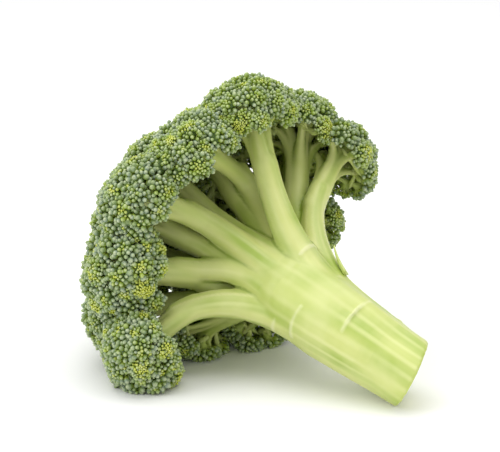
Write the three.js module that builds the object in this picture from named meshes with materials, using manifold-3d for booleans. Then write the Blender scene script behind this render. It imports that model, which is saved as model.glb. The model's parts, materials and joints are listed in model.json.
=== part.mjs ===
// A broccoli head lying on its side: a cut stalk, the branches that leave it and a floret of
// closed buds on every branch. Millimetres, +Z up.
//
// The plant is described as it grows: its axis is Z, from just above the cut end at the origin up
// to the crown, and +X is the side that faces up once the head lies down. The last lines lay it
// on its side.

import * as THREE from "three";
import { mergeVertices } from "three/addons/utils/BufferGeometryUtils.js";
import Module from "manifold-3d";

const wasm = await Module();
wasm.setup();

// Driving dimensions
const gap = 0.3; // between pieces that touch
const layTilt = 22; // degrees the stalk still rises from the surface to the crown
const cutHeight = -3; // of the cut's middle, along the plant's axis
const cutNormal = new THREE.Vector3(-0.1, 0.42, -0.9).normalize(); // the way the cut end faces
const plantOrigin = new THREE.Vector3(77.79, -6.41, 15.1); // of the plant, once the head lies down

// Half thickness of the stalk and of the leader that carries the top floret, at heights
// along the plant's axis
const stalkProfile = [
  [-14, 15.6],
  [8, 16],
  [26, 17.6],
  [44, 20],
  [60, 21.2],
  [76, 19],
  [92, 14],
  [112, 10],
  [137, 9],
];
const stalkSides = 20;
const stalkSteps = 10;
const stalkFlutes = 5;
const fluteDepth = 0.04;

// The florets: the angle round the stalk, the distance from its axis and the height of each
// one's middle, its radius, where its branch leaves the stalk's axis, and the branch's radius
// at its root and at its tip. base is the angle that the branch leaves towards, where it isn't
// the floret's own, and aside and inside move the branch's end across its floret. The top
// floret sits on the stalk itself.
const florets = [
  { turn: -130, reach: 63.5, height: 98.5, radius: 19, leaves: 34, root: 10, tip: 6, aside: 3, inside: 6 },
  { turn: -104, reach: 47, height: 123, radius: 21, leaves: 38, root: 10, tip: 7, aside: -4, inside: 6 },
  {
    turn: -64, reach: 44, height: 130, radius: 19.5, leaves: 44, root: 9.5, tip: 6,
    base: -50, aside: 4, inside: 8,
  },
  {
    turn: -22, reach: 45, height: 126, radius: 19.5, leaves: 50, root: 9, tip: 5.5,
    base: -24, aside: 8, inside: 6,
  },
  {
    turn: 17, reach: 58.5, height: 123.5, radius: 20.5, leaves: 42, root: 10, tip: 6.5,
    aside: -3, inside: -2,
  },
  { turn: 52, reach: 67.5, height: 114.5, radius: 22, leaves: 46, root: 9, tip: 5.5 },
  {
    turn: 58, reach: 70.5, height: 96, radius: 20.5, leaves: 36, root: 9, tip: 5.5,
    base: 50, aside: -6, inside: 0,
  },
  { turn: 88, reach: 65, height: 95, radius: 12, leaves: 36, root: 9, tip: 4.5 },
  { turn: 112, reach: 62, height: 104, radius: 17, leaves: 40, root: 9.5, tip: 6 },
  { turn: 142, reach: 49, height: 90, radius: 16.5, leaves: 40, root: 9.5, tip: 6 },
  { turn: 179, reach: 43, height: 102, radius: 17, leaves: 36, root: 10, tip: 6.5 },
  { turn: -145, reach: 51, height: 130, radius: 17.5, leaves: 54, root: 9, tip: 6, inner: true },
  { turn: -176, reach: 29, height: 146, radius: 22, leaves: 60, root: 9, tip: 7, inner: true },
  { turn: -91, reach: 19, height: 143, radius: 21, leaves: 64, root: 9, tip: 6.5, inner: true },
  { turn: -1, reach: 16, height: 149, radius: 19, leaves: 64, root: 9, tip: 6, inner: true },
  { turn: 42, reach: 36, height: 144, radius: 20.5, leaves: 62, root: 9, tip: 6.5, inner: true },
  { turn: 68, reach: 67, height: 120, radius: 17, leaves: 54, root: 8.5, tip: 5.5, inner: true },
  { turn: 84, reach: 54, height: 136, radius: 21, leaves: 58, root: 9, tip: 6.5, inner: true },
  { turn: 130, reach: 52, height: 129, radius: 21, leaves: 56, root: 9, tip: 6.5, inner: true },
];
const topFloret = { turn: 110, reach: 17, height: 154, radius: 23, inner: true };

const crownHeart = new THREE.Vector3(-2, 6, 72); // every floret faces away from this point
const floretSides = 16;
const domeRows = 7; // rings of points over a floret's dome
const spread = 1.35; // how much wider a floret grows towards its neighbours than outwards
const domeEdge = 104; // degrees from a floret's top to the edge of its dome
const neckDepth = 0.95; // how far under its middle a floret starts, in radii
const lumpDepth = 0.06; // of the radius
const tipDepth = 0.55; // where a branch ends inside its floret, in radii
const branchBow = 6; // how far a branch swings out as it leaves the stalk
const branchSides = 10;
const branchSteps = 6;

const leafStub = { turn: 34, reach: 22.6, height: 55, length: 8, width: 5, thickness: 1.8, lean: 30 };

const skin = { color: 0xb9cc7c, roughness: 0.5, metalness: 0 };
const bud = { color: 0x6b8552, roughness: 0.75, metalness: 0 };
const paleLeaf = { color: 0xdbe2a6, roughness: 0.55, metalness: 0 };

const degrees = THREE.MathUtils.degToRad;
const upward = new THREE.Vector3(0, 0, 1);

// A three.js geometry as a solid that can be joined and cut
function toSolid(geometry) {
  const bare = geometry.clone();
  bare.deleteAttribute("normal");
  bare.deleteAttribute("uv");
  const merged = mergeVertices(bare, 1e-4);
  const vertProperties = new Float32Array(merged.attributes.position.array);
  const triVerts = new Uint32Array(merged.index.array);
  return new wasm.Manifold(new wasm.Mesh({ numProp: 3, vertProperties, triVerts }));
}

function toNode(name, solid, look) {
  const { vertProperties, triVerts } = largestPiece(solid).getMesh();
  const geometry = new THREE.BufferGeometry();
  geometry.setAttribute("position", new THREE.BufferAttribute(vertProperties, 3));
  geometry.setIndex(new THREE.BufferAttribute(triVerts, 1));
  geometry.computeVertexNormals();
  const mesh = new THREE.Mesh(geometry, new THREE.MeshStandardMaterial(look));
  mesh.name = name;
  return mesh;
}

// Cutting can leave loose crumbs beside the piece itself
function largestPiece(solid) {
  return solid.decompose().reduce((most, part) => (part.volume() > most.volume() ? part : most));
}

function onPlant(turn, reach, height) {
  const angle = degrees(turn);
  return new THREE.Vector3(reach * Math.cos(angle), reach * Math.sin(angle), height);
}

// A closed round solid that follows a curve: a lathed rod, bent. radii are evenly spaced
// along it, and swell makes it thicker and longer all round.
function limb(curve, radii, sides, swell = 0, section = () => 1) {
  const steps = radii.length - 1;
  const profile = radii.map((radius, row) => new THREE.Vector2(radius + swell, row));
  profile.unshift(new THREE.Vector2(0, 0));
  profile.push(new THREE.Vector2(0, steps));
  const geometry = new THREE.LatheGeometry(profile, sides);
  const { tangents, normals, binormals } = curve.computeFrenetFrames(steps);
  const position = geometry.attributes.position;
  const point = new THREE.Vector3();
  for (let i = 0; i < position.count; i += 1) {
    const across = position.getX(i);
    const row = position.getY(i);
    const along = position.getZ(i);
    const shape = section(Math.atan2(along, across));
    curve.getPointAt(row / steps, point);
    point.addScaledVector(normals[row], along * shape);
    point.addScaledVector(binormals[row], across * shape);
    if (row === 0) point.addScaledVector(tangents[0], -swell);
    if (row === steps) point.addScaledVector(tangents[steps], swell);
    position.setXYZ(i, point.x, point.y, point.z);
  }
  return toSolid(geometry);
}

// Everything behind a plane: a block whose front face holds the point and faces along normal
function halfSpace(point, normal) {
  const size = 400;
  const block = new THREE.BoxGeometry(size, size, size);
  block.translate(0, 0, -size / 2);
  block.applyQuaternion(new THREE.Quaternion().setFromUnitVectors(upward, normal));
  block.translate(point.x, point.y, point.z);
  return toSolid(block);
}

function middleOf(floret) {
  return onPlant(floret.turn, floret.reach, floret.height);
}

function axisOf(floret) {
  return middleOf(floret).sub(crownHeart).normalize();
}

// The stalk rises straight, then bends a little to the top floret
function stalkCurve() {
  const top = middleOf(topFloret).addScaledVector(axisOf(topFloret), -tipDepth * topFloret.radius);
  const first = stalkProfile[0][0];
  return new THREE.CatmullRomCurve3([
    new THREE.Vector3(0, 0, first),
    new THREE.Vector3(0, 0, 34),
    new THREE.Vector3(0, 0, 66),
    new THREE.Vector3(top.x * 0.35, top.y * 0.35, 100),
    top,
  ]);
}

// The stalk's half thickness at evenly spaced places from its cut end to its top
function stalkRadii(rows) {
  const first = stalkProfile[0][0];
  const last = stalkProfile[stalkProfile.length - 1][0];
  return Array.from({ length: rows + 1 }, (_, row) => {
    const height = THREE.MathUtils.lerp(first, last, row / rows);
    const next = Math.max(1, stalkProfile.findIndex(([place]) => place >= height - 1e-9));
    const [lowHeight, lowRadius] = stalkProfile[next - 1];
    const [highHeight, highRadius] = stalkProfile[next];
    return THREE.MathUtils.mapLinear(height, lowHeight, highHeight, lowRadius, highRadius);
  });
}

function stalkSolid(swell = 0) {
  const fluted = (angle) => 1 + fluteDepth * Math.cos(stalkFlutes * angle);
  return limb(stalkCurve(), stalkRadii(stalkSteps), stalkSides, swell, fluted);
}

// A branch leaves the stalk's axis along the stalk and ends inside its floret, facing with it
function branchSolid(floret, swell = 0) {
  const axis = axisOf(floret);
  const { base = floret.turn, aside = 0, inside = 0 } = floret;
  const sideways = new THREE.Vector3().crossVectors(upward, axis).normalize();
  const inwards = new THREE.Vector3().crossVectors(axis, sideways);
  const start = new THREE.Vector3(0, 0, floret.leaves);
  const end = middleOf(floret).addScaledVector(axis, -tipDepth * floret.radius);
  end.addScaledVector(sideways, aside).addScaledVector(inwards, inside);
  const span = start.distanceTo(end);
  const lift = onPlant(base, branchBow, floret.leaves + span * 0.38);
  const lead = end.clone().addScaledVector(axis, -span * 0.3);
  const curve = new THREE.CubicBezierCurve3(start, lift, lead, end);
  const radii = Array.from({ length: branchSteps + 1 }, (_, step) => {
    const along = step / branchSteps;
    const waist = 1 - 0.08 * Math.sin(Math.PI * along);
    return THREE.MathUtils.lerp(floret.root, floret.tip, along) * waist;
  });
  return limb(curve, radii, branchSides, swell);
}

// A floret: a lumpy dome of buds over a cone of short stems that gathers at its branch
function floretSolid(floret) {
  const { radius } = floret;
  const profile = [];
  profile.push(new THREE.Vector2(0, -neckDepth * radius));
  profile.push(new THREE.Vector2(radius * 0.34, -neckDepth * radius));
  for (let row = 0; row <= domeRows; row += 1) {
    const angle = degrees(domeEdge * (1 - row / domeRows));
    profile.push(new THREE.Vector2(radius * Math.sin(angle), radius * Math.cos(angle)));
  }
  const geometry = new THREE.LatheGeometry(profile, floretSides);
  const position = geometry.attributes.position;
  const point = new THREE.Vector3();
  for (let i = 0; i < position.count; i += 1) {
    point.fromBufferAttribute(position, i);
    const round = Math.atan2(point.z, point.x);
    const rise = Math.max(0, point.y / radius + 0.3);
    const lump = 0.5 - 0.5 * Math.cos(5 * round + floret.turn) * Math.cos(6 * rise);
    const aside = Math.hypot(point.x, point.z) / radius;
    point.multiplyScalar(1 - lumpDepth * lump * Math.min(1, rise) * Math.min(1, aside * 3));
    position.setXYZ(i, point.x, point.y, point.z);
  }
  // Sideways and towards the top it spreads to meet its neighbours; a floret of the outer ring
  // keeps its own radius towards the stalk
  const axis = axisOf(floret);
  const sideways = new THREE.Vector3().crossVectors(upward, axis).normalize();
  const inwards = new THREE.Vector3().crossVectors(axis, sideways);
  const middle = middleOf(floret);
  for (let i = 0; i < position.count; i += 1) {
    const across = position.getX(i) * spread;
    const rise = position.getY(i);
    const free = position.getZ(i) > 0 && !floret.inner;
    const inward = position.getZ(i) * (free ? 1 : spread);
    point.copy(middle).addScaledVector(sideways, across);
    point.addScaledVector(axis, rise).addScaledVector(inwards, -inward);
    position.setXYZ(i, point.x, point.y, point.z);
  }
  return toSolid(geometry);
}

// Two florets that press on each other meet in a plane, with the gap between them
function pressedBy(solid, floret, other) {
  const middle = middleOf(floret);
  const between = middleOf(other).sub(middle);
  const distance = between.length();
  if (distance > spread * (floret.radius + other.radius)) return solid;
  const share = (distance ** 2 + floret.radius ** 2 - other.radius ** 2) / (2 * distance);
  const direction = between.normalize();
  const face = middle.addScaledVector(direction, share - gap / 2);
  return solid.subtract(halfSpace(face, direction.clone().negate()));
}

// A scrap of leaf left on the stalk, leaning out along it
function leafStubSolid() {
  const { turn, reach, height, length, width, thickness, lean } = leafStub;
  const outline = new THREE.Shape();
  outline.moveTo(-width / 2, -length);
  outline.lineTo(width / 2, -length);
  outline.lineTo(width / 2, 0);
  outline.quadraticCurveTo(width * 0.45, length * 0.7, width * 0.1, length);
  outline.quadraticCurveTo(-width * 0.5, length * 0.75, -width / 2, 0);
  const cut = { depth: thickness, bevelEnabled: false, curveSegments: 5 };
  const blade = new THREE.ExtrudeGeometry(outline, cut);
  blade.translate(0, 0, -thickness / 2);
  blade.rotateX(Math.PI / 2);
  blade.rotateZ(-Math.PI / 2);
  blade.rotateY(degrees(lean));
  blade.rotateZ(degrees(turn));
  const place = onPlant(turn, reach, height);
  blade.translate(place.x, place.y, place.z);
  return toSolid(blade);
}

const layAngle = degrees(layTilt);
const surfaceUp = new THREE.Vector3(Math.cos(layAngle), 0, Math.sin(layAngle));
const belowSurface = halfSpace(surfaceUp.clone().multiplyScalar(-plantOrigin.z), surfaceUp);
const beyondCut = halfSpace(new THREE.Vector3(0, 0, cutHeight), cutNormal.clone().negate());

const head = new THREE.Group();
head.name = "broccoli_head";

// Each piece is cut flat where it rests, and keeps clear of the pieces made before it
let taken = stalkSolid(gap);
function addPiece(name, solid, look) {
  head.add(toNode(name, solid.subtract(belowSurface), look));
}

addPiece("main_stalk", stalkSolid().subtract(beyondCut), skin);

florets.forEach((floret, index) => {
  const number = String(index + 1).padStart(2, "0");
  addPiece(`branch_${number}`, branchSolid(floret).subtract(taken), skin);
  taken = taken.add(branchSolid(floret, gap));
});

addPiece("leaf_stub", leafStubSolid().subtract(taken), paleLeaf);

const allFlorets = [...florets, topFloret];
allFlorets.forEach((floret, index) => {
  const others = allFlorets.filter((other) => other !== floret);
  const pressed = others.reduce((solid, other) => pressedBy(solid, floret, other), floretSolid(floret));
  const number = String(index + 1).padStart(2, "0");
  addPiece(`floret_${number}`, pressed.subtract(taken), bud);
});

// Laid on its side: the stalk points along +X and rests on its cut end's lower edge
head.rotation.y = layAngle - Math.PI / 2;
head.position.copy(plantOrigin);

export default head;
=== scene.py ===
import json
import math
import time

import bpy
import numpy as np
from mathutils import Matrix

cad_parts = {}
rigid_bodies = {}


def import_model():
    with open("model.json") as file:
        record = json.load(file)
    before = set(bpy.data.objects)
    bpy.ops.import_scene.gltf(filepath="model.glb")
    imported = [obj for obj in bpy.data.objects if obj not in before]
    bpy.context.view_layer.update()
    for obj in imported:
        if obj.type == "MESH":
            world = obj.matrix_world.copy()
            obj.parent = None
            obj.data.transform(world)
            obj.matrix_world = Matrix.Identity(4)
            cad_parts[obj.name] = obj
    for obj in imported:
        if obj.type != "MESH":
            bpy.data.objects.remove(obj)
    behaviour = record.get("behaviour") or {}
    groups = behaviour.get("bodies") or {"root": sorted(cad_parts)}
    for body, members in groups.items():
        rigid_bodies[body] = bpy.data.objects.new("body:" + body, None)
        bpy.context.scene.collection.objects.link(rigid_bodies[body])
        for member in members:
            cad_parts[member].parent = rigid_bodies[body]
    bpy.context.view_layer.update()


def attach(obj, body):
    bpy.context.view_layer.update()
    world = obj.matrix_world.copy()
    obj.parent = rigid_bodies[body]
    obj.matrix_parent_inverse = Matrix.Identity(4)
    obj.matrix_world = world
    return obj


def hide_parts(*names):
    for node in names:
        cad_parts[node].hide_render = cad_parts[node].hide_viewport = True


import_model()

import openvdb
from mathutils import Vector

started = time.time()


def say(text):
    print(f"{time.time() - started:6.1f} s  {text}")


# The plant is described in millimetres as it grows: Z runs up the stalk to the crown,
# and X is the side that faces up once the head lies down.
plant = {
    "origin": (77.79, -6.41, 15.1),      # of the plant, once it lies down
    "layTilt": 22.0,                     # degrees the stalk rises towards the crown
    "heart": (-2.0, 6.0, 72.0),          # florets face away from here
    "spread": 1.35,                      # florets are this much wider towards neighbours
    "domeEdge": 104.0,                   # degrees from a floret's top to its rim
    "cutHeight": -3.0,
    "cutFacing": (-0.1, 0.42, -0.9),
}

# turn round the stalk, reach from its axis and height of the floret's middle, floret radius,
# where the branch leaves the axis, branch radius at root and tip. base is the branch's own turn
# where it leaves, and lean moves its end sideways and inwards. bud scales the buds, blue is how
# much bloom they carry, and edge is the floret's own domeEdge. The last row is the top floret,
# which sits on the stalk's own leader.
floretRows = [
    (-130, 63.5, 98.5, 19, 34, 11, 7, dict(lean=(5, 9), edge=118, bud=1.12, blue=0.3)),
    (-104, 47, 123, 21, 38, 11, 8, dict(lean=(-4, 8), edge=132, bud=1.14, blue=0.3, twin=True)),
    (-64, 44, 130, 19.5, 44, 10.5, 7, dict(base=-50, lean=(6, 11), bud=1.08, blue=0.25)),
    (-22, 45, 126, 19.5, 50, 10, 6, dict(base=-24, lean=(23, 15), edge=100, bud=0.92)),
    (17, 58.5, 123.5, 20.5, 42, 11, 7, dict(lean=(-4, -4), bud=0.86, blue=-0.15)),
    (52, 67.5, 114.5, 22, 46, 10, 5.5, dict(bud=0.9, blue=-0.1)),
    (58, 70.5, 96, 20.5, 36, 10, 5.5, dict(base=50, lean=(-10, 0), edge=98, blue=0.2)),
    (88, 65, 95, 12, 36, 9, 4.5, dict(bud=0.9)),
    (112, 62, 104, 17, 40, 9.5, 6, dict(bud=0.95)),
    (142, 49, 90, 16.5, 40, 9.5, 6, dict(edge=88)),
    (179, 43, 102, 17, 36, 10, 6.5, dict(edge=84)),
    (-145, 51, 130, 17.5, 54, 9, 6, dict(inner=True, bud=1.08, blue=0.2)),
    (-176, 29, 146, 22, 60, 9, 7, dict(inner=True, bud=1.1, blue=0.25)),
    (-91, 19, 143, 21, 64, 9, 6.5, dict(inner=True, bud=1.02, blue=0.15)),
    (-1, 16, 149, 19, 64, 9, 6, dict(inner=True, bud=0.95)),
    (42, 36, 144, 20.5, 62, 9, 6.5, dict(inner=True, bud=0.9, blue=-0.1)),
    (68, 67, 120, 17, 54, 8.5, 5.5, dict(inner=True, bud=0.95)),
    (84, 54, 136, 21, 58, 9, 6.5, dict(inner=True, blue=0.1)),
    (130, 52, 129, 21, 56, 9, 6.5, dict(inner=True, bud=1.05, blue=0.1)),
    (110, 17, 154, 23, 60, 7, 6, dict(inner=True, bud=1.02, blue=0.05)),
]
floretWords = ("turn", "reach", "height", "radius", "leaves", "root", "tip")
floretTable = [dict(zip(floretWords, row), **row[-1]) for row in floretRows]
# half thickness of the stalk and of the leader to the top floret, at heights up the axis
stalkProfile = [
    (-14, 15.6), (8, 16), (26, 17.4), (44, 18.6), (60, 18), (76, 15), (92, 11), (112, 8.5), (137, 7),
]

upward = np.array([0.0, 0.0, 1.0])
layAngle = math.radians(plant["layTilt"])
surfaceUp = np.array([math.cos(layAngle), 0.0, math.sin(layAngle)])
plantToRoom = np.array([
    [math.sin(layAngle), 0.0, -math.cos(layAngle)],
    [0.0, 1.0, 0.0],
    [math.cos(layAngle), 0.0, math.sin(layAngle)],
])
heart = np.array(plant["heart"])
cutFacing = np.array(plant["cutFacing"]) / np.linalg.norm(plant["cutFacing"])
cutMiddle = np.array([0.0, 0.0, plant["cutHeight"]])


def toRoom(points):
    return (np.asarray(points) @ plantToRoom.T + np.array(plant["origin"])) * 0.001


def heightOverSurface(points):
    return np.asarray(points) @ surfaceUp + plant["origin"][2]


def unit(vectors):
    vectors = np.asarray(vectors, float)
    return vectors / np.maximum(np.linalg.norm(vectors, axis=-1, keepdims=True), 1e-9)


def onPlant(turn, reach, height):
    angle = math.radians(turn)
    return np.array([reach * math.cos(angle), reach * math.sin(angle), height])


for floret in floretTable:
    floret["middle"] = onPlant(floret["turn"], floret["reach"], floret["height"])
    floret["axis"] = unit(floret["middle"] - heart)
    floret["sideways"] = unit(np.cross(upward, floret["axis"]))
    floret["inwards"] = np.cross(floret["axis"], floret["sideways"])


# Where a floret's dome lies in a direction given by its angle from the floret's axis and the
# angle round it, and which way the dome faces there
def onDome(floret, polar, around, depth=1.0):
    side = np.sin(polar) * np.cos(around) * plant["spread"]
    inward = np.sin(polar) * np.sin(around)
    outerFree = (inward < 0) & (not floret.get("inner", False))
    inward = inward * np.where(outerFree, 1.0, plant["spread"])
    rise = np.cos(polar)
    size = floret["radius"] * depth
    axes = np.stack([floret["sideways"], floret["inwards"], floret["axis"]])
    local = np.stack([side, inward, rise], -1)
    squash = np.where(outerFree, 1.0, plant["spread"] ** 2)
    gradient = np.stack([side / plant["spread"] ** 2, inward / squash, rise], -1)
    return floret["middle"] + size * (local @ axes), unit(gradient @ axes)


def bezier(a, b, c, d, count):
    t = np.linspace(0, 1, count)[:, None]
    return (1 - t) ** 3 * a + 3 * t * (1 - t) ** 2 * b + 3 * t * t * (1 - t) * c + t ** 3 * d


# Stalk and branches are round limbs that run together where they meet
limbStyle = {
    "lead": 20.0,            # mm that a branch runs along the stalk before it leaves
    "rootDepth": 1.12,       # how deep it starts in the stalk, in root radii
    "rise": 0.42,            # of its length, straight up before it bends out
    "swing": 4.0,            # mm that the bend stands out
    "tail": 0.33,            # of its length, straight towards its floret
    "slim": (0.84, 0.72, 0.66, 0.78),   # of the branch radius, at its root, bend, middle and tip
    "fuller": 1.15,          # the middle is this much fuller than its two ends' mean
    "twinApart": 0.88,
    "twinRadius": (0.76, 0.7),
    "split": 1.12,           # where a branch splits, in floret radii under its middle
    "armDepth": 0.54,        # how far its arms reach out into the floret
    "armPolar": (0.0, 44.0, 82.0),      # the middle arm, the ring round it and the outer ring
    "armCount": (1, 4, 5),
    "armBack": (5, 7, 9.5),  # mm below the split that they start, on a floret of 20 mm radius
    "armBend": (0.5, 0.5, 0.42),
    "armFull": (1, 1, 0.86),
    "armRadius": (3.2, 1.8),
    "blendBranch": 2.4,      # mm over which limbs melt together
    "blendArm": 1.8,
    "blendScar": 1.3,
    "flutes": 5,
    "fluteDepth": 0.7,
    "fluteTwist": 0.018,     # radians for each mm up the stalk
    "voxel": 1.05,
    "fieldReach": 6.0,       # mm from the skin that the field knows
}


def stalkLimb():
    top = floretTable[-1]
    end = splitPlace(top)
    low = stalkProfile[0][0]
    anchors = np.array([[0, 0, low], [0, 0, 34], [0, 0, 66], [end[0] * 0.35, end[1] * 0.35, 100], end])
    places = np.linspace(low, end[2], 26)
    points = np.stack([np.interp(places, anchors[:, 2], anchors[:, i]) for i in range(3)], -1)
    heights = [place for place, radius in stalkProfile]
    radii = np.interp(places, heights, [radius for place, radius in stalkProfile])
    return points, radii


def splitPlace(floret):
    sideways, inwards = floret.get("lean", (0, 0))
    under = floret["axis"] * limbStyle["split"] * floret["radius"]
    return floret["middle"] - under + floret["sideways"] * sideways + floret["inwards"] * inwards


# A branch runs up the stalk's side, bends out and ends where it splits. A twin is two thinner
# limbs side by side.
def branchLimbs(floret):
    low = floret["leaves"] - limbStyle["lead"]
    heights = [place for place, radius in stalkProfile]
    side = np.interp(low, heights, [radius for place, radius in stalkProfile])
    outward = onPlant(floret.get("base", floret["turn"]), 1, 0)
    start = outward * (side - floret["root"] * limbStyle["rootDepth"]) + upward * low
    end = splitPlace(floret)
    span = np.linalg.norm(end - start)
    rise = start + upward * span * limbStyle["rise"] + outward * limbStyle["swing"]
    points = bezier(start, rise, end - floret["axis"] * span * limbStyle["tail"], end, 20)
    along = np.linspace(0, 1, 20)
    root, tip = floret["root"], floret["tip"]
    slim = limbStyle["slim"]
    middle = (root + tip) / 2 * slim[2] * limbStyle["fuller"]
    thick = [root * slim[0], root * slim[1], middle, tip * slim[3]]
    radii = np.interp(along, [0, 0.35, 0.65, 1], thick)
    if not floret.get("twin"):
        return [(points, radii)]
    apart = np.clip(along / 0.5, 0, 1) * np.clip((1.05 - along) / 0.3, 0.55, 1)
    apart = apart * radii * limbStyle["twinApart"]
    apart = apart[:, None] * floret["sideways"]
    one, other = limbStyle["twinRadius"]
    return [(points + apart, radii * one), (points - apart, radii * other)]


# Arms fan out of the branch's end into the floret: one up its middle and two rings round it
def armLimbs(floret, random):
    split = splitPlace(floret)
    scale = floret["radius"] / 20
    limbs = []
    for ring, (ringPolar, count) in enumerate(zip(limbStyle["armPolar"], limbStyle["armCount"])):
        if floret["radius"] < 15 and ring == 2:
            count = 4
        first = random.uniform(0, 2 * np.pi)
        for number in range(count):
            polar = math.radians(ringPolar + (random.uniform(-8, 8) if ring else 0))
            around = first + 2 * np.pi * (number + random.uniform(-0.2, 0.2)) / count
            tip, facing = onDome(floret, np.array(polar), np.array(around), limbStyle["armDepth"])
            aside = tip - split - floret["axis"] * ((tip - split) @ floret["axis"])
            aside = aside / max(np.linalg.norm(aside), 1e-6) * min(ring, 1)
            back = limbStyle["armBack"][ring] * scale
            base = split - floret["axis"] * back + aside * floret["tip"] * 0.32
            span = np.linalg.norm(tip - base)
            bend = base + floret["axis"] * span * limbStyle["armBend"][ring] + aside * 1.5
            points = bezier(base, bend, tip - unit(facing + aside * 0.4) * span * 0.3, tip, 9)
            thick, thin = limbStyle["armRadius"]
            thickness = np.linspace(thick, thin, 9) * scale * random.uniform(0.88, 1.1)
            limbs.append((points, thickness * limbStyle["armFull"][ring]))
    return limbs


def distanceToLimb(places, points, radii):
    nearest = np.full(places.shape[:-1], 1e3, np.float32)
    where = np.zeros(places.shape[:-1], np.float32)
    for index in range(len(points) - 1):
        start, run = points[index], points[index + 1] - points[index]
        offset = places - start.astype(np.float32)
        along = np.clip(offset @ (run / (run @ run)).astype(np.float32), 0, 1)
        gap = np.linalg.norm(offset - along[..., None] * run.astype(np.float32), axis=-1)
        gap -= radii[index] + (radii[index + 1] - radii[index]) * along
        closer = gap < nearest
        nearest = np.where(closer, gap, nearest)
        where = np.where(closer, index + along, where)
    return nearest, where


def blendSmallest(a, b, reach):
    share = np.clip(0.5 + 0.5 * (b - a) / reach, 0, 1)
    return b + (a - b) * share - reach * share * (1 - share)


random = np.random.default_rng(7)
limbs = [stalkLimb()]
for floret in floretTable[:-1]:
    floret["branch"] = branchLimbs(floret)
    limbs += floret["branch"]
mainLimbs = len(limbs)
for floret in floretTable:
    floret["arms"] = armLimbs(floret, random)
    limbs += floret["arms"]
limbBlend = [limbStyle["blendBranch"]] * mainLimbs
limbBlend += [limbStyle["blendArm"]] * (len(limbs) - mainLimbs)


def blockAround(points, margin, low, size, voxel):
    first = np.clip(((points.min(0) - margin - low) / voxel).astype(int), 0, size)
    last = np.clip(((points.max(0) + margin - low) / voxel).astype(int) + 2, 0, size)
    axes = [(low[i] + voxel * np.arange(first[i], last[i])).astype(np.float32) for i in range(3)]
    return tuple(slice(a, b) for a, b in zip(first, last)), axes


# The field holds the distance to the skin at every grid point, found limb by limb
def growSkin():
    voxel, far = limbStyle["voxel"], limbStyle["fieldReach"]
    allPoints = np.concatenate([points for points, radii in limbs])
    low = allPoints.min(0) - 24
    size = np.ceil((allPoints.max(0) + 14 - low) / voxel).astype(int)
    field = np.full(size, far, np.float32)
    limbField = np.empty(size, np.float32)
    for number, ((points, radii), reach) in enumerate(zip(limbs, limbBlend)):
        whole = blockAround(points, radii.max() + far - 1, low, size, voxel)[0]
        limbField[whole] = far
        for index in range(len(points) - 1):
            margin = max(radii[index], radii[index + 1]) + far - 1
            block, axes = blockAround(points[index:index + 2], margin, low, size, voxel)
            x, y, z = axes[0][:, None, None], axes[1][None, :, None], axes[2][None, None, :]
            start = points[index].astype(np.float32)
            run = (points[index + 1] - points[index]).astype(np.float32)
            dx, dy, dz = x - start[0], y - start[1], z - start[2]
            along = np.clip((dx * run[0] + dy * run[1] + dz * run[2]) / (run @ run), 0, 1)
            gap = np.sqrt((dx - along * run[0]) ** 2 + (dy - along * run[1]) ** 2
                          + (dz - along * run[2]) ** 2)
            gap -= radii[index] + (radii[index + 1] - radii[index]) * along
            if number == 0:
                fade = np.clip((78 - z) / 30, 0, 1) * np.clip((z + 12) / 20, 0.4, 1)
                around = np.arctan2(y + 0 * z, x + 0 * z)
                gap = gap - limbStyle["fluteDepth"] * fade * np.cos(
                    limbStyle["flutes"] * around + limbStyle["fluteTwist"] * z
                    + 0.8 * np.sin(2 * around))
            limbField[block] = np.minimum(limbField[block], gap)
        field[whole] = blendSmallest(field[whole], limbField[whole], reach)
    x, y, z = [(low[i] + voxel * np.arange(size[i])).astype(np.float32) for i in range(3)]
    x, y, z = x[:, None, None], y[None, :, None], z[None, None, :]
    uncut = field.copy()
    beyondCut = (x - cutMiddle[0]) * cutFacing[0] + (y - cutMiddle[1]) * cutFacing[1] \
        + (z - cutMiddle[2]) * cutFacing[2]
    below = -(x * surfaceUp[0] + z * surfaceUp[2] + plant["origin"][2]) + 0 * y
    field = np.maximum(field, beyondCut)
    field = np.maximum(field, below)
    grid = openvdb.FloatGrid(far)
    grid.copyFromArray(np.clip(field, -far, far))
    points, quads = grid.convertToQuads(isovalue=0.0)
    points = points.astype(np.float64)
    cell = np.clip(np.round(points).astype(int), 0, np.array(size) - 1)
    depth = -uncut[cell[:, 0], cell[:, 1], cell[:, 2]]
    return points * voxel + low, quads, depth


def meshFrom(name, points, faces):
    mesh = bpy.data.meshes.new(name)
    mesh.vertices.add(len(points))
    mesh.vertices.foreach_set("co", np.asarray(points, np.float32).ravel())
    count = faces.shape[1]
    mesh.loops.add(faces.size)
    mesh.loops.foreach_set("vertex_index", faces.astype(np.int32).ravel())
    mesh.polygons.add(len(faces))
    mesh.polygons.foreach_set("loop_start", np.arange(0, faces.size, count, dtype=np.int32))
    mesh.update(calc_edges=True)
    mesh.validate()
    return mesh


def addAttribute(mesh, name, kind, values, domain="POINT"):
    attribute = mesh.attributes.new(name, kind, domain)
    field = "vector" if kind in ("FLOAT_VECTOR", "FLOAT2") else "value"
    flat = np.asarray(values, np.int32 if kind == "INT" else np.float32).ravel()
    attribute.data.foreach_set(field, flat)


def newObject(name, mesh):
    item = bpy.data.objects.new(name, mesh)
    bpy.context.scene.collection.objects.link(item)
    return item


def limbFrames(points):
    tangents = unit(np.gradient(points, axis=0))
    across = np.zeros_like(points)
    across[0] = unit(np.cross(tangents[0], [0.31, 0.95, 0.05]))
    for i in range(1, len(points)):
        across[i] = unit(across[i - 1] - tangents[i] * (across[i - 1] @ tangents[i]))
    lengths = np.concatenate([[0], np.cumsum(np.linalg.norm(np.diff(points, axis=0), axis=1))])
    return across, np.cross(tangents, across), lengths


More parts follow.
